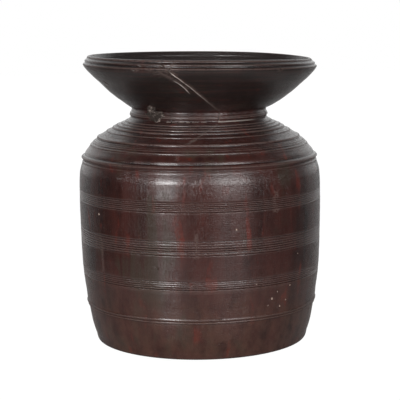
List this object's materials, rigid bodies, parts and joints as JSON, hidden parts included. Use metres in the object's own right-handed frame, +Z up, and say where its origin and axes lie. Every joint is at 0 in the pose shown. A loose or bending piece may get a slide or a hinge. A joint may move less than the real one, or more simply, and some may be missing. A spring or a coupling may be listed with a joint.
{
  "type": "wooden pot",
  "caption": "Lathe-turned wooden milk pot with a flat foot, combed belly bands, domed shoulder, narrow neck and flaring beaded funnel rim, part of it broken off and glued back.",
  "frame": {"origin": "centre of the foot, on the surface that the pot stands on", "axes": "+Z up along the turning axis; -Y faces the viewer of the picture, with the glued sherd at the front right"},
  "size_m": [0.2946, 0.2946, 0.35],
  "materials": {
    "dark_wood": "satin",
    "sherd_wood": "satin",
    "pale_glue": "matte",
    "resin": "matte"
  },
  "bodies": {
    "root": {"pot_body": "dark_wood", "rim_sherd": "sherd_wood", "joint_glue_line": "pale_glue", "funnel_crack_fill": "pale_glue", "shoulder_crack_fill": "pale_glue", "neck_groove_fill": "pale_glue", "neck_resin_lump": "resin"}
  },
  "joints": []
}
